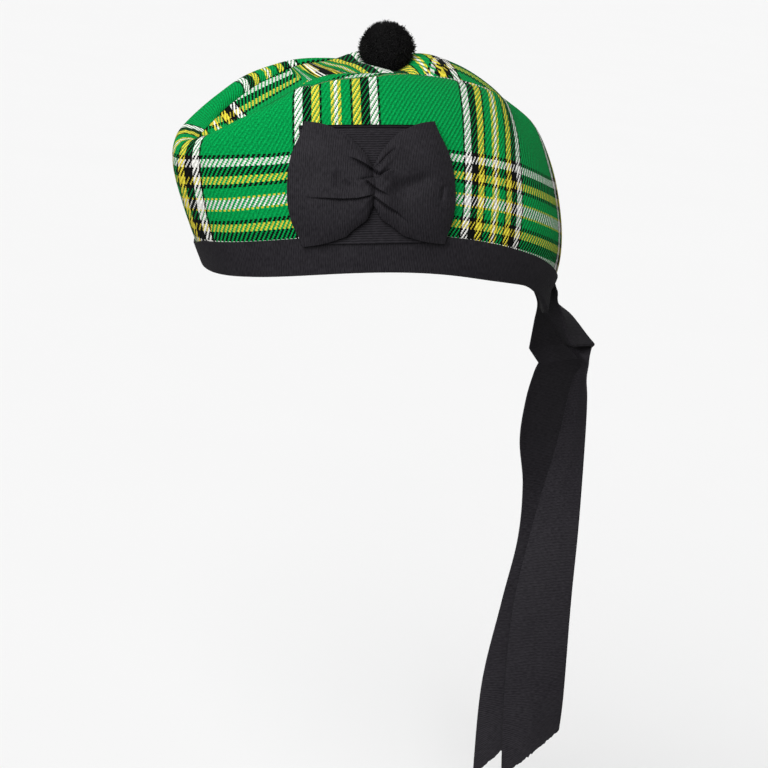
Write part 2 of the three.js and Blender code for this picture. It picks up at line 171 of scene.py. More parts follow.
# The two tails: how sharply the ribbon is creased across at each row, from 0 to 1, then where its
# two edges run, x y z. Between them the left tail has the ridge of its lengthwise fold.
TAIL_LEFT = np.array([
    [0, 8, 110.5, -8.5, 27, 104.5, -4.5, 35, 99, -3.5],
    [0, 8.5, 110.5, -14, 25, 108, -11, 28, 106.5, -9.5],
    [0, 9.5, 110.5, -19, 22, 111, -16.5, 18, 113.5, -17.5],
    [0, 9.5, 115.5, -28, 22, 115.5, -24.5, 9, 130.5, -27],
    [0.5, 10.5, 124.5, -40, 21.5, 121.5, -37, 8, 144.5, -40],
    [1, 10, 126.5, -43.5, 22.5, 125.5, -42.5, 10.5, 148.5, -44.5],
    [0.5, 5, 132.5, -46.5, 9.5, 137, -47, 8, 148.5, -47],
    [0, 11.5, 140.5, -56, 19.5, 139, -55, 25, 136, -54.5],
    [0, 9.5, 137.5, -65, 20, 136.5, -63, 28.5, 133.5, -62],
    [0, 8.5, 135.5, -79, 21, 136, -76.5, 31, 134, -74],
    [0, 6, 133.5, -106, 18.5, 136.5, -103, 30.5, 136.5, -100],
    [0, 4, 124, -159, 15, 133.5, -157, 27, 142, -154],
    [0, 7, 115, -211, 14, 131, -210, 22, 147, -209],
    [0, 13, 112.5, -268, 18, 130.5, -267, 22, 149.5, -264],
    [0, 18, 114, -316, 20.5, 131, -302, 22.5, 149, -287],
])
TAIL_RIGHT = np.array([
    [0, -3.5, 109, -12.8, -5.5, 111, -8.2],
    [0, -3, 113.5, -22, -12, 130, -21],
    [0, -5, 114, -34, -22, 146, -34],
    [1, -8, 114.5, -51, -25, 157, -51],
    [1, -8, 122.5, -60, -21, 165, -60],
    [0, -8, 120, -66, -21, 163, -67],
    [0, -8, 116.5, -83, -23, 159.5, -83],
    [0, -8, 115.5, -108, -21, 156, -108],
    [0, -9, 122, -137, -14, 160, -137],
    [0, -7, 121.5, -171, 2, 158, -168],
    [0, -7, 115, -212, 5, 150, -209],
    [0, -6, 107, -264, 8, 143, -261],
    [0, 0, 104.5, -322, 8, 140, -284],
])
# How round the lengthwise fold is, as a share of half the ribbon
TAIL_RIDGE = 0.08
# How far the ribbon cups, over which rows before its cut, and how unevenly it is cut
TAIL_CUP = 0.8
TAIL_CUP_FROM = 5
TAIL_CUP_FULL = 2
TAIL_FRAY = 0.35

# The rosette: its middle on the cap's left side, the backing and the bow laid over it
ROSETTE_STATION = 4.42
ROSETTE_HEIGHT = 40.5
ROSETTE_TILT = 5
ROSETTE_LIFT = 2 * GAP + RIBBON
BACKING_HALF_WIDTH = RIBBON_WIDTH
BACKING_TOP = 37
BACKING_BOTTOM = -27
# The hem pressed in along its top edge, its share behind, and the curl of its bottom edge
HEM_DEPTH = 1.7
HEM_INSET = 1.8
HEM_SPREAD = 1.1
HEM_BEHIND = 0.6
CURL_LIFT = 0.4
CURL_REACH = 5
BOW_CLEARANCE = 0.9
BOW_PUFF = 4.8
KNOT_PUFF = 5.5
KNOT_SPREAD = 0.2
# How far the puff falls off towards the edges, its unevenness, its lowest point, and how much
# further back the bow's hidden face lies
WING_TAPER = 0.75
KNOT_TAPER = 0.6
BOW_UNEVEN = 0.25
BOW_WAVES = (19, 27, 38)
BOW_LOWEST = -0.5
BOW_BEHIND = 0.6
# A row of the bow's outline: q, then how far the left and the right wing reach
BOW_SIDES = np.array([
    [-1, 37.5, 40.5], [-0.5, 43.3, 45.5], [0, 45.5, 47.5], [0.5, 43.5, 45.5], [1, 35.5, 38],
])
# A row of its edges: how far out on the wing, then how far the top and the bottom edge lie
BOW_EDGES = np.array([
    [0, 14, 7], [0.1, 20.3, 14], [0.2, 24.8, 17], [0.3, 28.8, 19.8], [0.4, 32.1, 23.2],
    [0.7, 37, 26.6], [1, 39, 28],
])

# Where one layer of the bow laps over another: points along the lap on the rosette's flat, how
# far the layer on the left of that way stands over the other and how wide that spreads, how deep
# and how wide a groove runs under it, and over what share it fades in and out. The last few are
# soft dents, with no lap. A lap's edge is rounded off over this much on either side.
LAP_EDGE = 0.3
BOW_LAPS = [
    ([(-15, 20), (-9.3, 17.8), (-4.3, 14.9), (0.1, 12.3), (3.3, 9.1)], 2.6, 8, 1.5, 0.9, 0.5, 0.1),
    ([(16, 26), (9.7, 21.1), (4.2, 16), (0.1, 12.3)], 2.8, 8, 2.0, 1.0, 0.45, 0.1),
    ([(14, 11.4), (9.3, 12.2), (5.3, 10.3), (1.9, 8.1), (-2, 7.9), (-12, 6)],
     2.4, 6, 1.6, 0.9, 0.4, 0.3),
    ([(-5.5, 7.3), (-2.1, 4.1), (1.7, 1.2), (8, -2.4)], 2.4, 5, 1.4, 0.9, 0.2, 0.5),
    ([(-39, 0), (-35, -2), (-17.5, -3.2), (-9.9, -3), (-0.3, -1)], 2.4, 9, 0.9, 0.7, 0.5, 0.1),
    ([(-1.3, -1.3), (2.2, -4.5), (6.7, -7.7), (11.9, -10.6), (20, -17.8)],
     3.0, 8, 1.7, 1.1, 0.1, 0.7),
    ([(-20, 13), (-19.2, 5.6), (-14.9, 3), (-9, 2)], 0, 1, 1.8, 3, 0.3, 0.3),
    ([(7, 2.4), (16.9, 2.6), (27.1, 5.8), (37, 10.6)], 0, 1, 2.2, 4, 0.3, 0.4),
    ([(39.6, 4), (38.9, -1.3), (38, -6)], 0, 1, 1.2, 1.2, 0.3, 0.3),
]

# The sett, from the middle of a stripe group out to the middle of the field: colour, threads and
# how much further than the green they spread. The upright threads lie closer than the level ones,
# so they count more of them to the same width.
HALF_SETT = 50.325
UPRIGHT_SETT = [
    ("white", 2, 0.5), ("yellow", 3, 0.45), ("green", 8, 0.0), ("black", 2, 1.0), ("yellow", 7, 0.45),
    ("black", 8, 1.0), ("white", 7, 0.5), ("black", 2, 1.0), ("green", 38, 0.0),
]
LEVEL_SETT = [
    ("white", 3, 0.0), ("yellow", 1, 0.3), ("green", 5, 0.0), ("black", 2, 1.0), ("yellow", 4, 0.2),
    ("black", 5, 0.8), ("white", 4, 0.5), ("black", 2, 1.0), ("green", 23, 0.0),
]
# Threads after which the twill comes round again
TWILL = 4
# How much the upright threads show, and how much of that a fuller thread takes
UPRIGHT_COVER = 0.575
FULLNESS_COVER = 0.21

# Where the upright stripes run on the sides: place round the cloth from the middle of the front
# group, then the station that it passes at each of LINE_HEIGHTS, from the rim to the crest
LINE_HEIGHTS = [0, 0.25, 0.5, 0.75, 1]
CLOTH_LINES = np.array([
    [-330, -9.6, -9.6, -9.7, -9.8, -9.9],
    [-279.8, -8.3, -8.4, -8.5, -8.6, -8.7],
    [-223.45, -7.15, -7.2, -7.25, -7.35, -7.45],
    [-179.15, -6.1, -6.15, -6.2, -6.3, -6.4],
    [-122.8, -4.55, -4.55, -4.5, -4.45, -4.37],
    [-78.5, -3.45, -3.45, -3.45, -3.43, -3.42],
    [-22.15, -2.55, -2.45, -2.3, -2.05, -1.8],
    [0, -1.45, -1.3, -0.8, -0.25, -0.1],
    [12.2, -0.05, 0, 0.34, 0.55, 0.63],
    [22.15, 1.36, 1.27, 1.38, 1.48, 1.62],
    [36, 2.1, 2.05, 2.1, 2.2, 2.3],
    [50, 2.5, 2.5, 2.55, 2.65, 2.75],
    [64, 2.9, 2.9, 3.0, 3.1, 3.2],
    [78.5, 3.25, 3.3, 3.4, 3.53, 3.6],
    [122.8, 4.42, 4.5, 4.6, 4.74, 4.86],
    [179.15, 5.76, 5.94, 6.09, 6.31, 6.62],
    [201.3, 6.3, 6.42, 6.6, 6.92, 7.5],
    [223.45, 6.7, 6.9, 7.06, 7.55, 8.2],
    [279.8, 7.85, 8.07, 8.3, 8.6, 8.9],
    [302, 8.33, 8.53, 8.74, 9.1, 9.6],
    [335, 9.0, 9.2, 9.4, 9.8, 10.4],
])
# Passes that even out the stripes' run between those lines
LINE_SMOOTHING = 24
# How much the cloth is eased in height at a station, and where its level group lies
CLOTH_EASE = np.array([[0, 1.02], [1.8, 1.005], [3, 0.967], [6, 1.0], [9, 1.11]])
LEVEL_GROUP = 39.8
# How far the level stripes ride up in front of the rosette, at which stations and over what height
LEVEL_RISE = 2.1
LEVEL_RISE_STATIONS = (2, 3.3, 4, 5.3)
LEVEL_RISE_SPREAD = 18
# The near crest is bound by a plain strip of the cloth: station, and where the strip starts in w;
# then its place on the cloth at the middle station, how fast that falls along the crest, how it is
# stretched and which part of the plain field it is cut from
CREST_STRIP = np.array([
    [2.9, 1], [3.45, 1], [3.6, 0.965], [3.85, 0.88], [4.3, 0.88], [4.8, 0.905], [5.2, 0.95], [5.5, 1],
])
STRIP_STATION = 4.38
STRIP_PLACE = 22.5
STRIP_FALL = 9.4
STRIP_STRETCH = 0.9
STRIP_FIELD = (27, 74)
WEFT_EASE = 1.05

# Where the crown's cross stripes lie from front to back: y, and the place on the cloth
CROWN_LINES = np.array([
    [-118, -22.15], [-110.9, -12.2], [-102.5, 0], [-94.9, 12.2], [-88, 22.15], [-47, 78.5],
    [-41.3, 88.45], [-36.3, 100.65], [-32, 112.85], [-19.5, 122.8], [1.5, 112.85],
    [8.7, 100.65], [16.7, 88.45], [26.2, 78.5], [80, 22.15],
])
CROWN_WEFT_EASE = 1.12
# How the toorie's stitches pull the crown's pattern, by places in y: the cross stripes run askew,
# and the level ones are pressed together in a tuck, drawn in and moved over
CROWN_SKEW = 0.12
CROWN_SKEW_REACH = (-60, -45, 5, 20)
FRONT_SKEW = 0.08
FRONT_SKEW_REACH = (60, 85)
TUCK_PULL = 0.92
TUCK_SHIFT = 17.5
TUCK_REACH = (-54, -47, -42, -38)
DRAWN_PULL = 0.15
DRAWN_SHIFT = 56.4
DRAWN_REACH = (-42, -38, -4, 30)
BACK_SHIFT = 29.3

# The camera, fitted to the photograph: degrees, millimetres and pixels of a 768 pixel frame
VIEW_AZIMUTH = 61.15
VIEW_ELEVATION = 12.02
VIEW_ROLL = 5.98
VIEW_DISTANCE = 1400
VIEW_FOCAL = 2436
VIEW_ORIGIN = (376.73, 265.17)
FRAME_PIXELS = 768
SENSOR_WIDTH = 36

# The floor's radius in metres, the light from all round, and each soft light's strength, then its
# spread, azimuth and elevation in degrees
FLOOR_REACH = 40
FLOOR_SIDES = 64
SKY_STRENGTH = 0.28
LIGHTS = {"key_softlight": (4.0, 45, 40, 28), "overhead_softlight": (0.7, 60, 0, 90)}

# Points in the pieces' grids, along and across, and the corners that stay sharp, in degrees
SIDE_POINTS = 216
SIDE_WALL_POINTS = 65
SIDE_ROLL_POINTS = 27
CROWN_POINTS = (150, 61)
BAND_POINTS = 420
TAIL_POINTS = (420, 33)
BACKING_POINTS = (78, 66)
BOW_POINTS = (251, 171)
CORE_POINTS = (24, 40)
SHARP_CORNER = 55
# How close to an edge directions are taken, the step for slopes, the rounds of a search, and the
# steps in which lines are measured and the crown's length is read
NEAR_EDGE = 0.002
NEAR_RIM = 0.02
NEAR_SEAM = 0.01
NEAR_CUT = 0.01
STEP = 1e-3
SEARCH_ROUNDS = 8
LINE_STEPS = 2001
CROWN_STEPS = 400
# Where each piece's random draws start
SEEDS = {"sides": 5, "bow": 3, "fray": 4, "strands": 11, "lumps": 2}


def linear(code):
    """An sRGB hex colour as linear red, green, blue."""
    parts = [int(code[k:k + 2], 16) / 255 for k in (1, 3, 5)]
    return tuple(p / 12.92 if p <= 0.04045 else ((p + 0.055) / 1.055) ** 2.4 for p in parts)


def colour(name, code, description):
    """A colour property, its default given in sRGB hex."""
    return bpy.props.FloatVectorProperty(
        name=name, description=description, subtype="COLOR", size=3, min=0, max=1, default=linear(code),
    )


def size(name, millimetres, description):
    """A length property, its default given in millimetres."""
    return bpy.props.FloatProperty(
        name=name, description=description, subtype="DISTANCE", unit="LENGTH", min=0,
        precision=5, default=millimetres * MM,
    )


class CapTartan(bpy.types.PropertyGroup):
    """The wool tartan of the sides and the crown."""
    half_sett: size("Half sett", HALF_SETT, "From the middle of a stripe group to mid field")
    green: colour("Green", "#028a42", "The field")
    yellow: colour("Yellow", "#d2c43c", "The narrow bright stripes")
    white: colour("White", "#dddcd7", "The broad bright stripes")
    black: colour("Black", "#0d0e0e", "The dark stripes and guard lines")


class CapRibbon(bpy.types.PropertyGroup):
    """The grosgrain ribbon of the band, the tails and the rosette."""
    rib: size("Rib", 0.95, "Spacing of the ribs across the band, tails and bow")
    heavy_rib: size("Heavy rib", 1.27, "Spacing of the ribs on the rosette's backing")
    # Painted shade: the ribbon's one dye is drawn as two colours, lighter on the lit tops of the ribs
    # and darker down in the shade between them
    lit_rib_top: colour("Rib", "#29272b", "The ribbon on top of a rib")
    between: colour("Between ribs", "#161418", "The ribbon down between two ribs")


class CapToorie(bpy.types.PropertyGroup):
    """The wool ball on top."""
    strands: bpy.props.IntProperty(
        name="Strands", description="Cut ends of wool that show", min=100, max=12000, default=7600,
    )
    wool: colour("Wool", "#080708", "The dyed wool")


class CapStage(bpy.types.PropertyGroup):
    """The studio."""
    floor: colour("Floor", "#eeeeee", "The floor's colour")
    clearance: size("Clearance", 160, "How far the tails hang above the floor")


# Shapes


def spline(table, at, sharp=None):
    """A smooth curve through a table's rows, read at fractional row numbers. It turns a corner at a
    row that is sharp."""
    i = np.floor(at).astype(int)
    f = (at - i)[..., None]
    rows = [np.clip(i + k, 0, len(table) - 1) for k in (-1, 0, 1, 2)]
    a, b, c, d = (table[row] for row in rows)
    leave, reach = (c - a) / 2, (d - b) / 2
    if sharp is not None:
        leave = leave * (1 - sharp[rows[1]])[..., None]
        reach = reach * (1 - sharp[rows[2]])[..., None]
    return b + f * (leave + f * (3 * (c - b) - 2 * leave - reach + f * (2 * (b - c) + leave + reach)))


def spline_by(table, key):
    """A table read by its first column, which rises from row to row."""
    return spline(table, np.interp(key, table[:, 0], np.arange(len(table))))


def station(t):
    """The side's table at station t; the stations carry on past the front as a mirror image."""
    flip = np.ones(STATIONS.shape[1])
    flip[[0, 1, 4]] = -1
    back = STATIONS[LAST - 1:LAST - 3:-1] * flip
    back[:, 0] += 360
    around = np.concatenate([STATIONS[:0:-1] * flip, STATIONS, back])
    front = STATIONS[LAST - 1:LAST - 3:-1].copy()
    front[:, 0] -= 360
    around = np.concatenate([front[::-1], around])
    row = spline(around, np.asarray(t, float) + LAST + 2)
    row[..., [3, 6]] -= far_sag(-np.asarray(t, float))[..., None]
    return row


def far_sag(t):
    """How far the far crest hangs below the near one, t stations round from the front."""
    return FAR_SAG * np.exp(-(((t - FAR_SAG_STATION) / FAR_SAG_SPREAD) ** 2))


def side(t, w):
    """The side's outer face: w from 0 at the rim to 1 at the crest, then to 2 at the crown seam."""
    t, w = np.broadcast_arrays(np.asarray(t, float), np.asarray(w, float))
    row = station(t)
    a = np.radians(row[..., 0])
    reach = np.where(np.cos(a) > 0, RIM_FRONT, RIM_BACK)
    level = RIM_BACK_DROP * np.cos(a) - RIM_EAR_SWEEP * np.cos(2 * a) + RIM_ABOVE_BAND + rim_lift(t)
    rim = np.stack([RIM_HALF_WIDTH * np.sin(a), -reach * np.cos(a), level], -1)
    out = unit(np.stack([np.sin(a) / RIM_HALF_WIDTH, -np.cos(a) / reach, 0 * a], -1))
    crest, seam = row[..., 1:4], row[..., 4:7]
    low = rim + out * row[..., 7:8]
    low[..., 2] = rim[..., 2] + row[..., 8] - rim_lift(t)
    high = crest + out * row[..., 9:10]
    v = np.minimum(w, 1)[..., None]
    wall = (1 - v) ** 3 * rim + 3 * (1 - v) ** 2 * v * low + 3 * (1 - v) * v * v * high + v ** 3 * crest
    turned = np.clip((crest[..., 2] - seam[..., 2]) / ROLL_DROP, 0, 1)[..., None]
    over = crest + (seam - crest) * (ROLL_FLAT + (ROLL_TURNED - ROLL_FLAT) * turned)
    over[..., 2] = crest[..., 2]
    x = np.maximum(w - 1, 0)[..., None]
    roll = (1 - x) ** 2 * crest + 2 * (1 - x) * x * over + x * x * seam
    return np.where(w[..., None] <= 1, wall, roll)


def crown(t, q):
    """The crown's outer face: q from -1 at the left seam to 1 at the right one."""
    t, q = np.broadcast_arrays(np.asarray(t, float), np.asarray(q, float))
    row = station(t)
    x = -row[..., 4] * q
    y = row[..., 5]
    spread = np.where(x > 0, DIMPLE_SPREAD_LEFT, DIMPLE_SPREAD)
    dimple = DIMPLE_DEPTH * bump_at(x / spread, (y - TOORIE_Y) / DIMPLE_SPREAD)
    arch = row[..., 10] * (1 - np.minimum(np.abs(q), 1) ** row[..., 11])
    tucks = sum(high * bump_at((x - cx) / wx, (y - cy) / wy) for cx, cy, wx, wy, high in CROWN_TUCKS)
    return np.stack([x, y, row[..., 6] + arch - dimple + tucks - far_sag(t) * np.clip(q, 0, 1)], -1)


def bump_at(x, y):
    """A round swelling of unit height and spread."""
    return np.exp(-(x ** 2 + y ** 2) / 2)


def unit(v):
    """Vectors brought to unit length."""
    return v / np.linalg.norm(v, axis=-1, keepdims=True)


def facing(surface, u, v):
    """The unit normal of a surface, from small steps along its two parameters."""
    du = surface(u + STEP, v) - surface(u - STEP, v)
    dv = surface(u, v + STEP) - surface(u, v - STEP)
    return unit(np.cross(du, dv))


def seam_facing(t):
    """The direction through the cloth at the left crown seam, shared by the side and the crown."""
    return unit(facing(side, t, 2 - NEAR_SEAM) + facing(crown, t, 2 * NEAR_SEAM - 1))


def smooth(x, low, high):
    """An even step from 0 at low to 1 at high."""
    s = np.clip((x - low) / (high - low), 0, 1)
    return s * s * (3 - 2 * s)


def swell(x, begin, full, fade, end):
    """An even step up from begin to full, and down again from fade to end."""
    return smooth(x, begin, full) * (1 - smooth(x, fade, end))


def rim_lift(t):
    """How far the rim is drawn up at the back, where the ribbon ends turn down."""
    return RIM_BACK_LIFT * smooth(np.abs(t), *RIM_LIFT_STATIONS)


def band_top(t):
    """The band's height over the rim, less at the back where the ribbon turns down."""
    front = BAND_FAR_DIP * swell(t, *BAND_DIP_STATIONS)
    back = (BAND_BACK_HEIGHT - BAND_HEIGHT) * smooth(np.abs(t), BAND_BACK_FROM, LAST)
    return BAND_HEIGHT - front + back - rim_lift(t)


def height_to_w(t, height):
    """How far along w the side's face is a given length above the rim."""
    rim = side(t, 0)
    w = np.full(np.shape(t), 0.25)
    for _ in range(SEARCH_ROUNDS):
        w = w * height / np.linalg.norm(side(t, w) - rim, axis=-1)
    return w


def run_along(points):
    """How far each point lies along its row of points."""
    steps = np.linalg.norm(np.diff(points, axis=-2), axis=-1)
    return np.concatenate([np.zeros((*steps.shape[:-1], 1)), np.cumsum(steps, axis=-1)], axis=-1)


def evenly(line, low, high, count):
    """Places along a line, spaced evenly by length."""
    fine = np.linspace(low, high, LINE_STEPS)
    run = run_along(line(fine))
    return np.interp(np.linspace(0, run[-1], count), run, fine)


def ripple(a, b, lengths, seed):
    """A gentle unevenness, from crossing waves of the given lengths."""
    draw = np.random.default_rng(seed)
    total = np.zeros(np.broadcast(a, b).shape)
    for length in lengths:
        way, phase = draw.uniform(0, 2 * np.pi, 2)
        total += np.sin((np.cos(way) * a + np.sin(way) * b) * 2 * np.pi / length + phase)
    return total / len(lengths)


def grid(along, across):
    """Two runs of numbers spread over a grid, the first down it and the second across it."""
    return np.broadcast_arrays(along[:, None], across[None, :])


def lay(node, slot, material, points, faces, spots=None):
    """Puts a smooth mesh in the scene in place of a solid, from points in millimetres, faces and,
    for cloth, each point's spot on the cloth laid flat."""
    name = f"{node}_{slot}"
    mesh = bpy.data.meshes.new(name)
    mesh.from_pydata((points * MM).tolist(), [], faces.tolist())
    if spots is not None:
        layer = mesh.uv_layers.new(name="cloth")
        layer.data.foreach_set("uv", spots[faces.ravel()].ravel().astype(np.float32))
    mesh.shade_smooth()
    mesh.set_sharp_from_angle(angle=math.radians(SHARP_CORNER))
    mesh.validate()
    mesh.materials.append(material)
    piece = bpy.data.objects.new(name, mesh)
    bpy.context.scene.collection.objects.link(piece)
    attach(piece, "root")
    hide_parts(node)
    return piece


def lay_sheet(node, slot, material, outer, inner, place):
    """Lays a closed sheet between two grids of points, with each point's spot on the flat cloth."""
    rows, columns = outer.shape[:2]
    face = np.arange(rows * columns).reshape(rows, columns)
    back = face + rows * columns
    rings = [
        (face[:-1, :-1], face[1:, :-1], face[1:, 1:], face[:-1, 1:]),
        (back[:-1, :-1], back[:-1, 1:], back[1:, 1:], back[1:, :-1]),
        (face[:-1, 0], back[:-1, 0], back[1:, 0], face[1:, 0]),
        (face[:-1, -1], face[1:, -1], back[1:, -1], back[:-1, -1]),
        (face[0, :-1], face[0, 1:], back[0, 1:], back[0, :-1]),
        (face[-1, :-1], back[-1, :-1], back[-1, 1:], face[-1, 1:]),
    ]
    quads = np.concatenate([np.stack(ring, -1).reshape(-1, 4) for ring in rings])
    points = np.concatenate([outer.reshape(-1, 3), inner.reshape(-1, 3)])
    spots = np.concatenate([place.reshape(-1, 2)] * 2)
    return lay(node, slot, material, points, quads, spots)


# Materials


def plug(node, inputs):
    """Sets or links a node's inputs, each given by its name or its number."""
    for key, value in inputs.items():
        socket = node.inputs[key] if isinstance(key, int) else next(
            s for s in node.inputs if s.enabled and s.name == key
        )
        if isinstance(value, bpy.types.NodeSocket):
            node.id_data.links.new(value, socket)
        else:
            socket.default_value = value


def add_node(tree, kind, inputs=None, **settings):
    """Adds a shader node with its settings and inputs, and gives the first output that it uses."""
    made = tree.nodes.new("ShaderNode" + kind)
    for name, value in settings.items():
        setattr(made, name, value)
    plug(made, inputs or {})
    return next((s for s in made.outputs if s.enabled), None)


def new_material(name):
    """A material with only a principled shader, the call that adds nodes to it, and that shader."""
    material = bpy.data.materials.get(name) or bpy.data.materials.new(name)
    material.use_nodes = True
    material.node_tree.nodes.clear()
    add = functools.partial(add_node, material.node_tree)
    shader = add("BsdfPrincipled")
    add("OutputMaterial", {"Surface": shader})
    return material, add, shader.node


def tartan():
    """Twill-woven wool tartan. Two threads over and two under make the diagonal ribs; the warp
    stands a little prouder, so upright stripes look solid and level ones broken, and the raised
    fibres give a dull, faintly hazy face."""
    look = bpy.context.scene.cap_tartan
    material, add, shader = new_material("wool_twill_tartan")
    spot = add("UVMap", uv_map="cloth")
    setts = (UPRIGHT_SETT, LEVEL_SETT)
    halves = [sum(run for _, run, _ in sett) for sett in setts]
    close = [half * MM / look.half_sett for half in halves]
    count = add("VectorMath", {0: spot, 1: (*close, 1)}, operation="MULTIPLY")
    warp = add("SeparateXYZ", {0: count})
    weft = warp.node.outputs["Y"]
    stripes = []
    for threads, sett, half in zip((warp, weft), setts, halves):
        one = add("Math", {0: threads}, operation="ROUND")
        fold = add("Math", {0: one, 1: half}, operation="PINGPONG")
        part = add("Math", {0: fold, 1: half}, operation="DIVIDE")
        ramp = add("ValToRGB", {0: part})
        stops = ramp.node.color_ramp
        stops.interpolation = "CONSTANT"
        stops.elements.remove(stops.elements[1])
        reached = 0
        for k, (name, run, fullness) in enumerate(sett):
            place = max(0, reached - 0.5) / half
            stop = stops.elements.new(place) if k else stops.elements[0]
            stop.position = place
            stop.color = (*getattr(look, name), fullness)
            reached += run
        stripes.append((one, ramp))
    (_, warp_colour), (pick, weft_colour) = stripes
    # A twill of two over and two under comes round again after four threads
    step = add("Math", {0: warp, 1: pick}, operation="SUBTRACT")
    quarter = add("Math", {0: step, 1: 1 / TWILL}, operation="MULTIPLY")
    twill = add("Math", {0: quarter}, operation="FRACT")
    fuller = add("Math", {
        0: warp_colour.node.outputs["Alpha"], 1: weft_colour.node.outputs["Alpha"],
    }, operation="SUBTRACT")
    cover = add(
        "Math", {0: fuller, 1: FULLNESS_COVER, 2: UPRIGHT_COVER}, operation="MULTIPLY_ADD",
    )
    on_top = add("Math", {0: twill, 1: cover}, operation="LESS_THAN")
    woven = add(
        "Mix", {"Factor": on_top, "A": weft_colour, "B": warp_colour}, data_type="RGBA",
    )
    # Ribs of the twill, rounded, with painted shade along each side of each rib, and the fuzz of raised
    # fibres in tufts of about a millimetre
    slope = add("Math", {0: warp, 1: weft}, operation="SUBTRACT")
    turn = add("Math", {0: slope, 1: 2 * math.pi / TWILL}, operation="MULTIPLY")
    rib = add("Math", {0: turn}, operation="SINE")
    fuzz = add("TexNoise", {"Vector": spot, "Scale": 1.1, "Detail": 4.0, "Roughness": 0.65})
    # Painted shade: the twill's sine darkens the colour in the grooves between ribs and lightens it on
    # their crowns
    shade = add("MapRange", {
        "Value": rib, "From Min": -1.0, "From Max": 1.0, "To Min": 0.76, "To Max": 1.08,
    })
    wear = add("MapRange", {
        "Value": fuzz, "From Min": 0.3, "From Max": 0.7, "To Min": 0.45, "To Max": 1.55,
    })
    # The colour's tone is the painted rib shade times the random fuzz of the raised fibres
    tone = add("Math", {0: shade, 1: wear}, operation="MULTIPLY")
    pile = add("Math", {0: fuzz, 1: 0.8, 2: rib}, operation="MULTIPLY_ADD")
    plug(shader, {
        "Base Color": add("VectorMath", {0: woven, "Scale": tone}, operation="SCALE"),
        "Normal": add("Bump", {"Height": pile, "Strength": 0.7, "Distance": 0.25 * MM}),
        "Roughness": 0.85,
        "IOR": 1.5,
        "Specular IOR Level": 0.03,
        "Sheen Weight": 0.015,
        "Sheen Roughness": 0.5,
    })
    return material


def grosgrain(heavy=False):
    """Grosgrain ribbon, woven with fine warp over a thick weft. The weft makes close, even ribs
    straight across, so the ribbon has a soft silky gleam that breaks up along its length. The
    heavy one is woven over a cord, and each of its ribs shows."""
    look = bpy.context.scene.cap_ribbon
    material, add, shader = new_material("heavy_grosgrain_ribbon" if heavy else "grosgrain_ribbon")
    spacing, low = (look.heavy_rib, 0.0) if heavy else (look.rib, 0.2)
    spot = add("UVMap", uv_map="cloth")
    along = add("SeparateXYZ", {0: spot})
    turns = add("Math", {0: along, 1: 2 * math.pi * MM / spacing}, operation="MULTIPLY")
    wave = add("Math", {0: turns}, operation="SINE")
    # Painted shade: the rib wave mixes the colour darker down between the ribs and lighter on their
    # tops, over the full range on the heavy ribbon and less on the plain one
    rib = add("MapRange", {
        "Value": wave, "From Min": -1.0, "From Max": 1.0, "To Min": low, "To Max": 1 - low,
    })
    # The slubs in the weft are drawn at 0.6 mm, about three times its real thickness, to show
    threads = add("CombineXYZ", {"X": along, "Y": along.node.outputs["Y"]})
    stretch = add("VectorMath", {0: threads, 1: (1.7, 0.35, 1.0)}, operation="MULTIPLY")
    grain = add("TexNoise", {"Vector": stretch, "Scale": 1.0, "Detail": 3.0})
    cloud = add("TexNoise", {"Vector": spot, "Scale": 0.07, "Detail": 2.0})
    grained = add("Math", {0: grain, 1: 2.6, 2: -1.3}, operation="MULTIPLY_ADD")
    clouded = add("Math", {0: cloud, 1: 0.5, 2: -0.25}, operation="MULTIPLY_ADD")
    uneven = add("Math", {0: grained, 1: clouded}, operation="ADD")
    # The mix share is the painted rib shade plus the random slubs and clouds of the weft
    share = add("Math", {0: rib, 1: uneven}, operation="ADD", use_clamp=True)
    height = add("Math", {0: grain, 1: 1.2, 2: rib}, operation="MULTIPLY_ADD")
    plug(shader, {
        "Base Color": add("Mix", {
            "Factor": share, "A": (*look.between, 1), "B": (*look.lit_rib_top, 1),
        }, data_type="RGBA"),
        "Normal": add("Bump", {"Height": height, "Strength": 0.8, "Distance": 0.3 * MM}),
        "Roughness": add("MapRange", {"Value": grain, "To Min": 0.55, "To Max": 0.75}),
        "IOR": 1.5,
        "Specular IOR Level": 0.1,
        "Sheen Weight": 0.01,
    })
    return material


def cut_wool():
    """Black-dyed wool yarn, cut and teased into a ball. The fibre ends swallow the light, with
    only a dull grey glint on the outermost strands."""
    look = bpy.context.scene.cap_toorie
    material, add, shader = new_material("cut_wool")
    spot = add("TexCoord").node.outputs["Object"]
    tuft = add("TexNoise", {"Vector": spot, "Scale": 420.0, "Detail": 3.0})
    tone = add("MapRange", {
        "Value": tuft, "From Min": 0.3, "From Max": 0.7, "To Min": 0.45, "To Max": 1.5,
    })
    plug(shader, {
        "Base Color": add("VectorMath", {0: tuple(look.wool), "Scale": tone}, operation="SCALE"),
        "Normal": add("Bump", {"Height": tuft, "Strength": 0.4, "Distance": 0.3 * MM}),
        "Roughness": 0.95,
        "Specular IOR Level": 0.15,
        "Sheen Weight": 0.04,
    })
    return material


def studio_paper():
    """Matt seamless paper, a soft even white with a trace of tooth."""
    look = bpy.context.scene.cap_stage
    material, add, shader = new_material("studio_paper")
    spot = add("TexCoord").node.outputs["Object"]
    tooth = add("TexNoise", {"Vector": spot, "Scale": 3.0, "Detail": 5.0})
    tone = add("MapRange", {"Value": tooth, "To Min": 0.985, "To Max": 1.0})
    plug(shader, {
        "Base Color": add("VectorMath", {0: tuple(look.floor), "Scale": tone}, operation="SCALE"),
        "Roughness": 0.95,
        "Specular IOR Level": 0.0,
    })
    return material


# Pieces


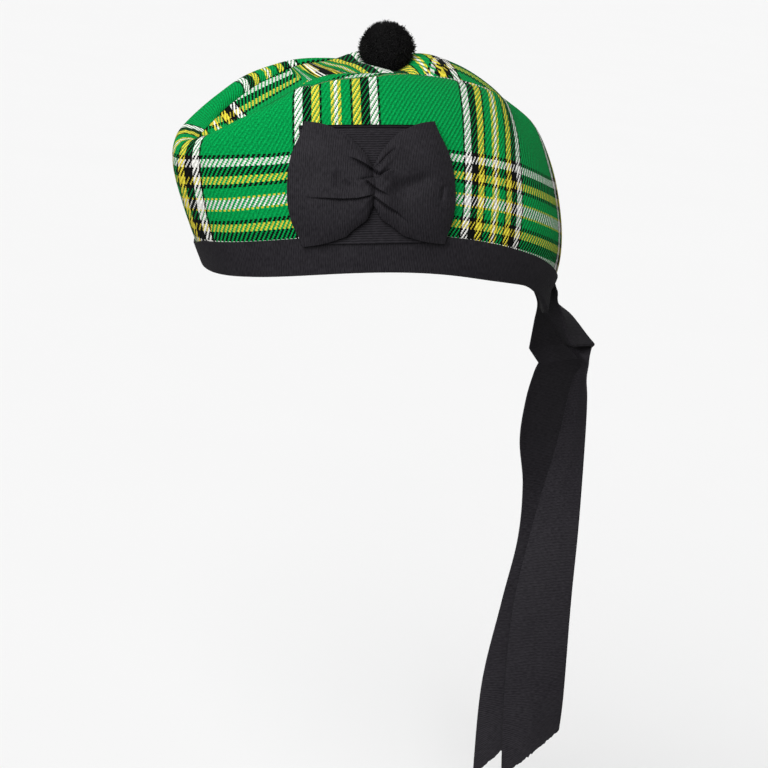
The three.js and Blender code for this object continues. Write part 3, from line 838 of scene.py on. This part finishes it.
def cloth_place(t, w, points):
    """Each point's spot on the flat tartan, in millimetres of the sett."""
    inside = np.minimum(w, 1)
    round_cloth = np.empty(points.shape[:2])
    for j in range(len(w)):
        passed = [np.interp(inside[j], LINE_HEIGHTS, line[1:]) for line in CLOTH_LINES]
        round_cloth[:, j] = np.interp(t, passed, CLOTH_LINES[:, 0])
    for _ in range(LINE_SMOOTHING):
        round_cloth[1:-1] = (round_cloth[:-2] + 2 * round_cloth[1:-1] + round_cloth[2:]) / 4
        round_cloth[:, 1:-1] = (round_cloth[:, :-2] + 2 * round_cloth[:, 1:-1] + round_cloth[:, 2:]) / 4
    up_cloth = run_along(points) + rim_lift(t)[:, None]
    up_cloth = up_cloth / np.interp(np.abs(t), *CLOTH_EASE.T)[:, None]
    risen = LEVEL_RISE * swell(t, *LEVEL_RISE_STATIONS)
    level = up_cloth - LEVEL_GROUP
    level = (level - risen[:, None] * np.exp(-(level / LEVEL_RISE_SPREAD) ** 2)) / WEFT_EASE
    start = np.interp(t, *CREST_STRIP.T, left=w[-1], right=w[-1])
    strip = w[None, :] > start[:, None]
    over = up_cloth - np.array([np.interp(low, w, row) for low, row in zip(start, up_cloth)])[:, None]
    fall = STRIP_PLACE - STRIP_FALL * (t - STRIP_STATION)
    level = np.where(strip, fall[:, None] + over, level)
    field = HALF_SETT + STRIP_STRETCH * (round_cloth - 2 * HALF_SETT)
    round_cloth = np.where(strip, np.clip(field, *STRIP_FIELD), round_cloth)
    return np.stack([round_cloth, level], -1)


class CAP_OT_sides(bpy.types.Operator):
    """Weave the two tartan sides, from the rim over the crest to the crown seam"""
    bl_idname = "cap.sides"
    bl_label = "Sides"

    def execute(self, context):
        material = tartan()
        wall = np.linspace(0, 1, SIDE_WALL_POINTS, endpoint=False)
        w = np.concatenate([wall, np.linspace(1, 2, SIDE_ROLL_POINTS)])
        stations = evenly(lambda t: side(t, 0.5), 0, LAST, SIDE_POINTS)
        for name, t, hand in (("left", stations, 1), ("right", -stations[::-1], -1)):
            around, up = grid(t, w)
            outer = side(around, up)
            normal = facing(side, around, np.clip(up, NEAR_EDGE, 2 - NEAR_EDGE))
            normal[:, -1] = seam_facing(np.abs(t))
            normal[:, -1, 0] *= hand
            place = cloth_place(t, w, outer)
            waves = ripple(place[..., 0], place[..., 1], SLACK_WAVES, SEEDS["sides"])
            slack = SLACK * swell(up, *SLACK_REACH) * waves
            outer = outer + normal * slack[..., None]
            inner = outer - normal * CLOTH
            tuck = unit(outer[:, -2] - outer[:, -1]) * GAP / 2
            for face in (outer, inner):
                face[:, -1] += tuck
                face[..., 0] = hand * np.maximum(hand * face[..., 0], HALF_JOINT)
            piece = lay_sheet(f"{name}_side", "tartan", material, outer, inner, place)
        return {"FINISHED"}


class CAP_OT_crown(bpy.types.Operator):
    """Sew the tartan crown into the valley between the two crests"""
    bl_idname = "cap.crown"
    bl_label = "Crown"

    def execute(self, context):
        length, width = CROWN_POINTS
        t = evenly(lambda t: crown(t, 0.5), CROWN_FRONT_TIP, LAST - CROWN_BACK_TIP, length)
        edge = 1 - GAP / 2 / station(t)[:, 4]
        q = np.linspace(-1, 1, width) * edge[:, None]
        t = np.broadcast_to(t[:, None], q.shape)
        outer = crown(t, q)
        normal = facing(crown, t, q)
        seam = seam_facing(t[:, 0])
        normal[:, 0] = seam
        normal[:, -1] = seam * [-1, 1, 1]
        inner = outer - normal * CLOTH
        x, y = outer[..., 0], outer[..., 1]
        skew = CROWN_SKEW * swell(y, *CROWN_SKEW_REACH) - FRONT_SKEW * smooth(-y, *FRONT_SKEW_REACH)
        cross = np.interp(y + skew * x, *CROWN_LINES.T)
        tuck = swell(y, *TUCK_REACH)
        drawn = swell(y, *DRAWN_REACH)
        past_tuck = smooth(y, *TUCK_REACH[2:])
        past_toorie = smooth(y, *DRAWN_REACH[2:])
        shift = TUCK_SHIFT * tuck + DRAWN_SHIFT * past_tuck + BACK_SHIFT * past_toorie
        level = (x * (1 - TUCK_PULL * tuck - DRAWN_PULL * drawn) + shift) / CROWN_WEFT_EASE
        place = np.stack([cross, -level], -1)
        piece = lay_sheet("crown", "tartan", tartan(), outer, inner, place)
        return {"FINISHED"}


class CAP_OT_band(bpy.types.Operator):
    """Fold the ribbon over the rim, open only where its ends meet at the back"""
    bl_idname = "cap.band"
    bl_label = "Band"

    def execute(self, context):
        end = LAST - BAND_OPENING
        t = evenly(lambda t: side(t, 0), -end, end, BAND_POINTS)
        rim = side(t, 0)
        top = band_top(t)
        up = unit(side(t, NEAR_RIM) - rim)
        hang = up * (BAND_HANG * (1 - smooth(np.abs(t), *BAND_TIGHT_STATIONS)))[:, None]
        hang[:, 2] += BAND_TURN_DOWN * swell(t, *BAND_TURN_STATIONS)
        middle = rim - facing(side, t, NEAR_EDGE) * CLOTH / 2
        layers = []
        for clear in (GAP + RIBBON, GAP):
            rows = []
            for off, shares in ((clear, BAND_ROWS), (-CLOTH - clear, BAND_ROWS[::-1])):
                for share in shares:
                    w = height_to_w(t, share * top) if share else np.zeros_like(t)
                    row = side(t, w) + facing(side, t, np.maximum(w, NEAR_EDGE)) * off
                    if not share:
                        row -= up * GAP / 2 + hang
                    rows.append(row)
            rows.insert(len(BAND_ROWS), middle - up * clear - hang)
            layers.append(np.stack(rows, 1))
        outer, inner = layers
        place = np.stack(np.broadcast_arrays(run_along(rim)[:, None], run_along(outer)), -1)
        piece = lay_sheet("band", "ribbon", grosgrain(), outer, inner, place)
        return {"FINISHED"}


def tail(table, at, q):
    """The middle of a tail's ribbon at rows of its table, q from -1 at one edge to 1 at the other."""
    row = spline(table[:, 1:], np.asarray(at, float), table[:, 0])
    near, far = row[..., :3], row[..., -3:]
    middle = (near + far) / 2
    ridge = row[..., 3:6] if table is TAIL_LEFT else middle
    away = np.sqrt(q * q + TAIL_RIDGE ** 2) - TAIL_RIDGE
    raised = 1 - away / (math.sqrt(1 + TAIL_RIDGE ** 2) - TAIL_RIDGE)
    return middle + (far - near) / 2 * q[..., None] + (ridge - middle) * raised[..., None]


class CAP_OT_tails(bpy.types.Operator):
    """Hang the two ribbon ends from the back of the band, each with its folds and slanted cut"""
    bl_idname = "cap.tails"
    bl_label = "Tails"

    def execute(self, context):
        material = grosgrain()
        length, width = TAIL_POINTS
        q = np.linspace(-1, 1, width)
        for name, table in (("left", TAIL_LEFT), ("right", TAIL_RIGHT)):
            last = len(table) - 1
            ribbon = functools.partial(tail, table)
            at = evenly(lambda a: ribbon(a, np.zeros_like(a)), 0, last, length)
            down, across = grid(at, q)
            face = ribbon(down, across)
            normal = facing(ribbon, np.clip(down, NEAR_CUT, last - NEAR_CUT), across)
            cup = TAIL_CUP * (1 - across ** 2) * smooth(down, last - TAIL_CUP_FROM, last - TAIL_CUP_FULL)
            face = face + normal * cup[..., None]
            fray = np.random.default_rng(SEEDS["fray"]).normal(0, TAIL_FRAY, width)
            face[-1] += unit(face[-1] - face[-2]) * fray[:, None]
            outer = face + normal * RIBBON / 2
            inner = face - normal * RIBBON / 2
            run = run_along(ribbon(at, np.zeros_like(at)))
            place = np.stack(np.broadcast_arrays(run[:, None], q * RIBBON_WIDTH / 2), -1)
            piece = lay_sheet(f"tail_{name}", "ribbon", material, outer, inner, place)
        return {"FINISHED"}


def rosette_axes():
    """The middle of the rosette on the side, and its directions along, up and outward."""
    w = height_to_w(np.array(ROSETTE_STATION), ROSETTE_HEIGHT)
    middle = side(ROSETTE_STATION, w)
    outward = facing(side, ROSETTE_STATION, w)
    level = unit(np.cross([0, 0, 1], outward))
    turn = math.radians(ROSETTE_TILT)
    along = level * math.cos(turn) + np.cross(outward, level) * math.sin(turn)
    return w, middle, along, np.cross(outward, along), outward


def on_rosette(a, b, raise_by):
    """The point a along and b up the rosette's flat, laid on the side and then raised."""
    start, middle, along, up, outward = rosette_axes()
    t = np.full(a.shape, float(ROSETTE_STATION))
    w = np.full(a.shape, float(start))

    def flat(t, w):
        p = side(t, w) - middle
        return np.stack([p @ along, p @ up], -1)

    for _ in range(SEARCH_ROUNDS):
        here = flat(t, w)
        by_t = (flat(t + STEP, w) - here) / STEP
        by_w = (flat(t, w + STEP) - here) / STEP
        det = by_t[..., 0] * by_w[..., 1] - by_t[..., 1] * by_w[..., 0]
        da, db = a - here[..., 0], b - here[..., 1]
        t = t + (da * by_w[..., 1] - db * by_w[..., 0]) / det
        w = w + (db * by_t[..., 0] - da * by_t[..., 1]) / det
    return side(t, w) + outward * raise_by[..., None]


class CAP_OT_backing(bpy.types.Operator):
    """Lay the rosette's backing ribbon flat on the left side"""
    bl_idname = "cap.backing"
    bl_label = "Rosette backing"

    def execute(self, context):
        width, height = BACKING_POINTS
        along = np.linspace(-1, 1, width) * BACKING_HALF_WIDTH
        a, b = grid(along, np.linspace(BACKING_BOTTOM, BACKING_TOP, height))
        flat = np.full(a.shape, ROSETTE_LIFT)
        hem = HEM_DEPTH * np.exp(-(((b - BACKING_TOP + HEM_INSET) / HEM_SPREAD) ** 2))
        curl = CURL_LIFT * smooth(BACKING_BOTTOM + CURL_REACH - b, 0, CURL_REACH)
        outer = on_rosette(a, b, flat + RIBBON + curl - hem)
        inner = on_rosette(a, b, flat + curl - HEM_BEHIND * hem)
        place = np.stack([b, a], -1)
        piece = lay_sheet("rosette_backing", "ribbon", grosgrain(heavy=True), outer, inner, place)
        return {"FINISHED"}


def lapped(a, b):
    """How far the bow's layers stand over or under the mean at each point of its flat."""
    total = np.zeros(a.shape)
    here = np.stack([a, b], -1)
    for points, step, spread, deep, wide, begin, end in BOW_LAPS:
        line = np.array(points, float)
        run = run_along(line)
        nearest = np.full(a.shape, np.inf)
        hand = np.zeros(a.shape)
        place = np.zeros(a.shape)
        for k in range(len(line) - 1):
            way = line[k + 1] - line[k]
            share = np.clip(((here - line[k]) @ way) / (way @ way), 0, 1)
            off = here - line[k] - share[..., None] * way
            gap = np.linalg.norm(off, axis=-1)
            closer = gap < nearest
            nearest = np.where(closer, gap, nearest)
            hand = np.where(closer, np.sign(way[0] * off[..., 1] - way[1] * off[..., 0]), hand)
            place = np.where(closer, run[k] + share * (run[k + 1] - run[k]), place)
        fade_in = smooth(place, -LAP_EDGE, begin * run[-1])
        fade = fade_in * smooth(run[-1] - place, -LAP_EDGE, end * run[-1])
        off = nearest * hand
        left = smooth(off, -LAP_EDGE, LAP_EDGE)
        total += step * (left - 0.5) * np.exp(-nearest / spread) * fade
        if step:
            under = np.exp(np.minimum(off, 0) / wide) * (1 - left)
        else:
            under = np.exp(-((off / wide) ** 2))
        total -= deep * under * fade
    return total


class CAP_OT_bow(bpy.types.Operator):
    """Tie the rosette's bow: two puffed wings that lap and twist into a flat knot"""
    bl_idname = "cap.bow"
    bl_label = "Rosette bow"

    def execute(self, context):
        width, height = BOW_POINTS
        p, q = grid(np.linspace(-1, 1, width), np.linspace(-1, 1, height))
        ends = spline_by(BOW_SIDES, q)
        edges = spline_by(BOW_EDGES, np.abs(p))
        a = p * np.where(p < 0, ends[..., 1], ends[..., 2])
        b = q * np.where(q < 0, edges[..., 2], edges[..., 1])
        wing = (1 - np.abs(2 * np.abs(p) - 1) ** 3) * (1 - WING_TAPER * q ** 4)
        knot = np.exp(-((p / KNOT_SPREAD) ** 2)) * (1 - KNOT_TAPER * q * q)
        puff = BOW_PUFF * wing + KNOT_PUFF * knot + lapped(a, b)
        puff = puff + BOW_UNEVEN * wing * ripple(a, b, BOW_WAVES, SEEDS["bow"])
        puff = np.maximum(puff, BOW_LOWEST)
        low = ROSETTE_LIFT + RIBBON + BOW_CLEARANCE
        outer = on_rosette(a, b, low + RIBBON + puff)
        inner = on_rosette(a, b, low + np.maximum(puff - BOW_BEHIND, 0))
        place = np.stack([a, b], -1)
        piece = lay_sheet("rosette_bow", "ribbon", grosgrain(), outer, inner, place)
        return {"FINISHED"}


def crown_height(x, y):
    """The crown's height at places near its middle."""
    t = np.linspace(0, LAST, CROWN_STEPS)
    at = np.interp(y, station(t)[:, 5], t)
    return crown(at, -x / station(at)[..., 4])[..., 2]


def wool_strands(count):
    """Short cut strands that stand out all round the origin, as points and faces."""
    draw = np.random.default_rng(SEEDS["strands"])
    k = np.arange(count) + 0.5
    z = 1 - 2 * k / count
    ring = np.sqrt(1 - z * z)
    angle = k * math.pi * (3 - math.sqrt(5))
    even = np.stack([ring * np.cos(angle), ring * np.sin(angle), z], -1)
    away = unit(even + draw.normal(0, STRAND_SCATTER, (count, 3)))
    lean = draw.normal(0, STRAND_LEAN, (count, 3))
    lumps = TOORIE_LUMPS * ripple(angle * 3, z * 20, (5, 9, 14), SEEDS["lumps"])
    reach = TOORIE_RADIUS - STRAND_INSET + lumps + draw.normal(0, STRAND_UNEVEN, count)
    stray = draw.random(count) < STRAY_SHARE
    reach = reach + stray * draw.uniform(*STRAY_REACH, count)
    for tuft in TOORIE_TUFTS:
        reach = reach + TUFT_REACH * np.exp(-(1 - away @ unit(np.array(tuft))) / TUFT_SPREAD)
    root = STRAND_ROOT * TOORIE_RADIUS
    across = unit(np.cross(away, np.roll(away, 1, axis=-1) + STRAND_ASIDE))
    over = np.cross(away, across)
    points = np.empty((count, len(STRAND_SECTIONS), STRAND_SIDES, 3))
    for i, (share, radius) in enumerate(STRAND_SECTIONS):
        out = root + (reach - root) * share
        spine = unit(away + lean * share ** 2) * out[:, None]
        for s in range(STRAND_SIDES):
            turn = 2 * math.pi * s / STRAND_SIDES
            points[:, i, s] = spine + radius * (across * math.cos(turn) + over * math.sin(turn))
    number = np.arange(points.size // 3).reshape(points.shape[:-1])
    following = np.roll(number, -1, axis=2)
    faces = np.stack([number[:, :-1], following[:, :-1], following[:, 1:], number[:, 1:]], -1)
    return points.reshape(-1, 3), faces.reshape(-1, 4)


def wool_core():
    """The ball that the strands grow from, as points and faces."""
    rings, turns = CORE_POINTS
    tip = np.linspace(CORE_TIP, math.pi - CORE_TIP, rings)[:, None]
    spin = np.linspace(0, 2 * math.pi, turns, endpoint=False)
    ball = [np.sin(tip) * np.cos(spin), np.sin(tip) * np.sin(spin), np.cos(tip) + 0 * spin]
    points = CORE_SHARE * TOORIE_RADIUS * np.stack(ball, -1).reshape(-1, 3)
    number = np.arange(len(points)).reshape(rings, turns)
    wrap = np.roll(number, -1, axis=1)
    return points, np.stack([number[:-1], number[1:], wrap[1:], wrap[:-1]], -1).reshape(-1, 4)


class CAP_OT_toorie(bpy.types.Operator):
    """Gather the toorie: a dark core under thousands of short cut strands of wool"""
    bl_idname = "cap.toorie"
    bl_label = "Toorie"

    def execute(self, context):
        strands, strand_faces = wool_strands(context.scene.cap_toorie.strands)
        core, core_faces = wool_core()
        seat = crown_height(0.0, float(TOORIE_Y))
        points = np.concatenate([strands, core]) + [0, TOORIE_Y, seat + TOORIE_RADIUS - TOORIE_SUNK]
        floor = crown_height(points[:, 0], points[:, 1]) + 2 * GAP
        points[:, 2] = np.maximum(points[:, 2], floor)
        faces = np.concatenate([strand_faces, core_faces + len(strands)])
        lay("toorie", "wool", cut_wool(), points, faces)
        return {"FINISHED"}


def bearing(azimuth, elevation):
    """The direction in which an azimuth and an elevation in degrees point."""
    az, el = math.radians(azimuth), math.radians(elevation)
    return Vector((math.sin(az) * math.cos(el), -math.cos(az) * math.cos(el), math.sin(el)))


class CAP_OT_stage(bpy.types.Operator):
    """Set the floor, the soft studio light and the camera"""
    bl_idname = "cap.stage"
    bl_label = "Stage"

    def execute(self, context):
        scene = context.scene
        look = scene.cap_stage
        spin = np.linspace(0, 2 * math.pi, FLOOR_SIDES, endpoint=False)
        rim = FLOOR_REACH * np.stack([np.cos(spin), np.sin(spin), 0 * spin], -1)
        wedges = [(0, k + 1, (k + 1) % FLOOR_SIDES + 1) for k in range(FLOOR_SIDES)]
        mesh = bpy.data.meshes.new("floor_paper")
        mesh.from_pydata([(0, 0, 0), *rim.tolist()], [], wedges)
        mesh.materials.append(studio_paper())
        floor = bpy.data.objects.new("floor_paper", mesh)
        floor.location.z = cad_box[0][2] - look.clearance
        scene.collection.objects.link(floor)
        # Studio floor flagged off the cap: it shows white but throws no light back up
        floor.visible_diffuse = False
        floor.visible_glossy = False

        world = bpy.data.worlds.new("studio")
        world.use_nodes = True
        sky = world.node_tree.nodes["Background"]
        sky.inputs["Color"].default_value = (1, 1, 1, 1)
        sky.inputs["Strength"].default_value = SKY_STRENGTH
        scene.world = world
        scene.view_settings.view_transform = "Standard"
        for name, (energy, spread, azimuth, elevation) in LIGHTS.items():
            lamp = bpy.data.lights.new(name, "SUN")
            lamp.energy = energy
            lamp.angle = math.radians(spread)
            light = bpy.data.objects.new(name, lamp)
            light.rotation_euler = bearing(azimuth, elevation).to_track_quat("Z", "Y").to_euler()
            scene.collection.objects.link(light)

        back = bearing(VIEW_AZIMUTH, VIEW_ELEVATION)
        right = bearing(VIEW_AZIMUTH + 90, 0)
        up = back.cross(right)
        roll = math.radians(VIEW_ROLL)
        across = right * math.cos(roll) + up * math.sin(roll)
        upright = up * math.cos(roll) - right * math.sin(roll)
        half = FRAME_PIXELS / 2
        shift = [(VIEW_ORIGIN[0] - half) / VIEW_FOCAL, (half - VIEW_ORIGIN[1]) / VIEW_FOCAL]
        eye = (back - across * shift[0] - upright * shift[1]) * VIEW_DISTANCE * MM
        camera = bpy.data.cameras.new("studio_camera")
        camera.sensor_width = SENSOR_WIDTH
        camera.lens = VIEW_FOCAL / FRAME_PIXELS * SENSOR_WIDTH
        holder = bpy.data.objects.new("studio_camera", camera)
        axes = Matrix((across, upright, back)).transposed().to_4x4()
        holder.matrix_world = Matrix.Translation(eye) @ axes
        scene.collection.objects.link(holder)
        scene.camera = holder
        return {"FINISHED"}


class CAP_PT_panel(bpy.types.Panel):
    """The cap's pieces and looks"""
    bl_idname = "CAP_PT_panel"
    bl_label = "Glengarry Cap"
    bl_space_type = "VIEW_3D"
    bl_region_type = "UI"
    bl_category = "Cap"

    def draw(self, context):
        for operator in OPERATORS:
            self.layout.operator(operator.bl_idname)
        for group, kind in GROUPS.items():
            box = self.layout.box()
            for name in kind.__annotations__:
                box.prop(getattr(context.scene, group), name)


GROUPS = {
    "cap_tartan": CapTartan,
    "cap_ribbon": CapRibbon,
    "cap_toorie": CapToorie,
    "cap_stage": CapStage,
}
OPERATORS = (
    CAP_OT_stage, CAP_OT_sides, CAP_OT_crown, CAP_OT_band, CAP_OT_tails, CAP_OT_backing,
    CAP_OT_bow, CAP_OT_toorie,
)


def register():
    """Adds the properties, the operators and the panel to Blender."""
    for group, kind in GROUPS.items():
        bpy.utils.register_class(kind)
        setattr(bpy.types.Scene, group, bpy.props.PointerProperty(type=kind))
    for kind in (*OPERATORS, CAP_PT_panel):
        bpy.utils.register_class(kind)


def unregister():
    """Takes them out again."""
    for kind in reversed((*OPERATORS, CAP_PT_panel)):
        bpy.utils.unregister_class(kind)
    for group, kind in GROUPS.items():
        delattr(bpy.types.Scene, group)
        bpy.utils.unregister_class(kind)


def main():
    """Builds the cap on its stage."""
    register()
    bpy.ops.cap.stage()
    bpy.ops.cap.sides()
    bpy.ops.cap.crown()
    bpy.ops.cap.band()
    bpy.ops.cap.tails()
    bpy.ops.cap.backing()
    bpy.ops.cap.bow()
    bpy.ops.cap.toorie()


if __name__ == "__main__":
    main()
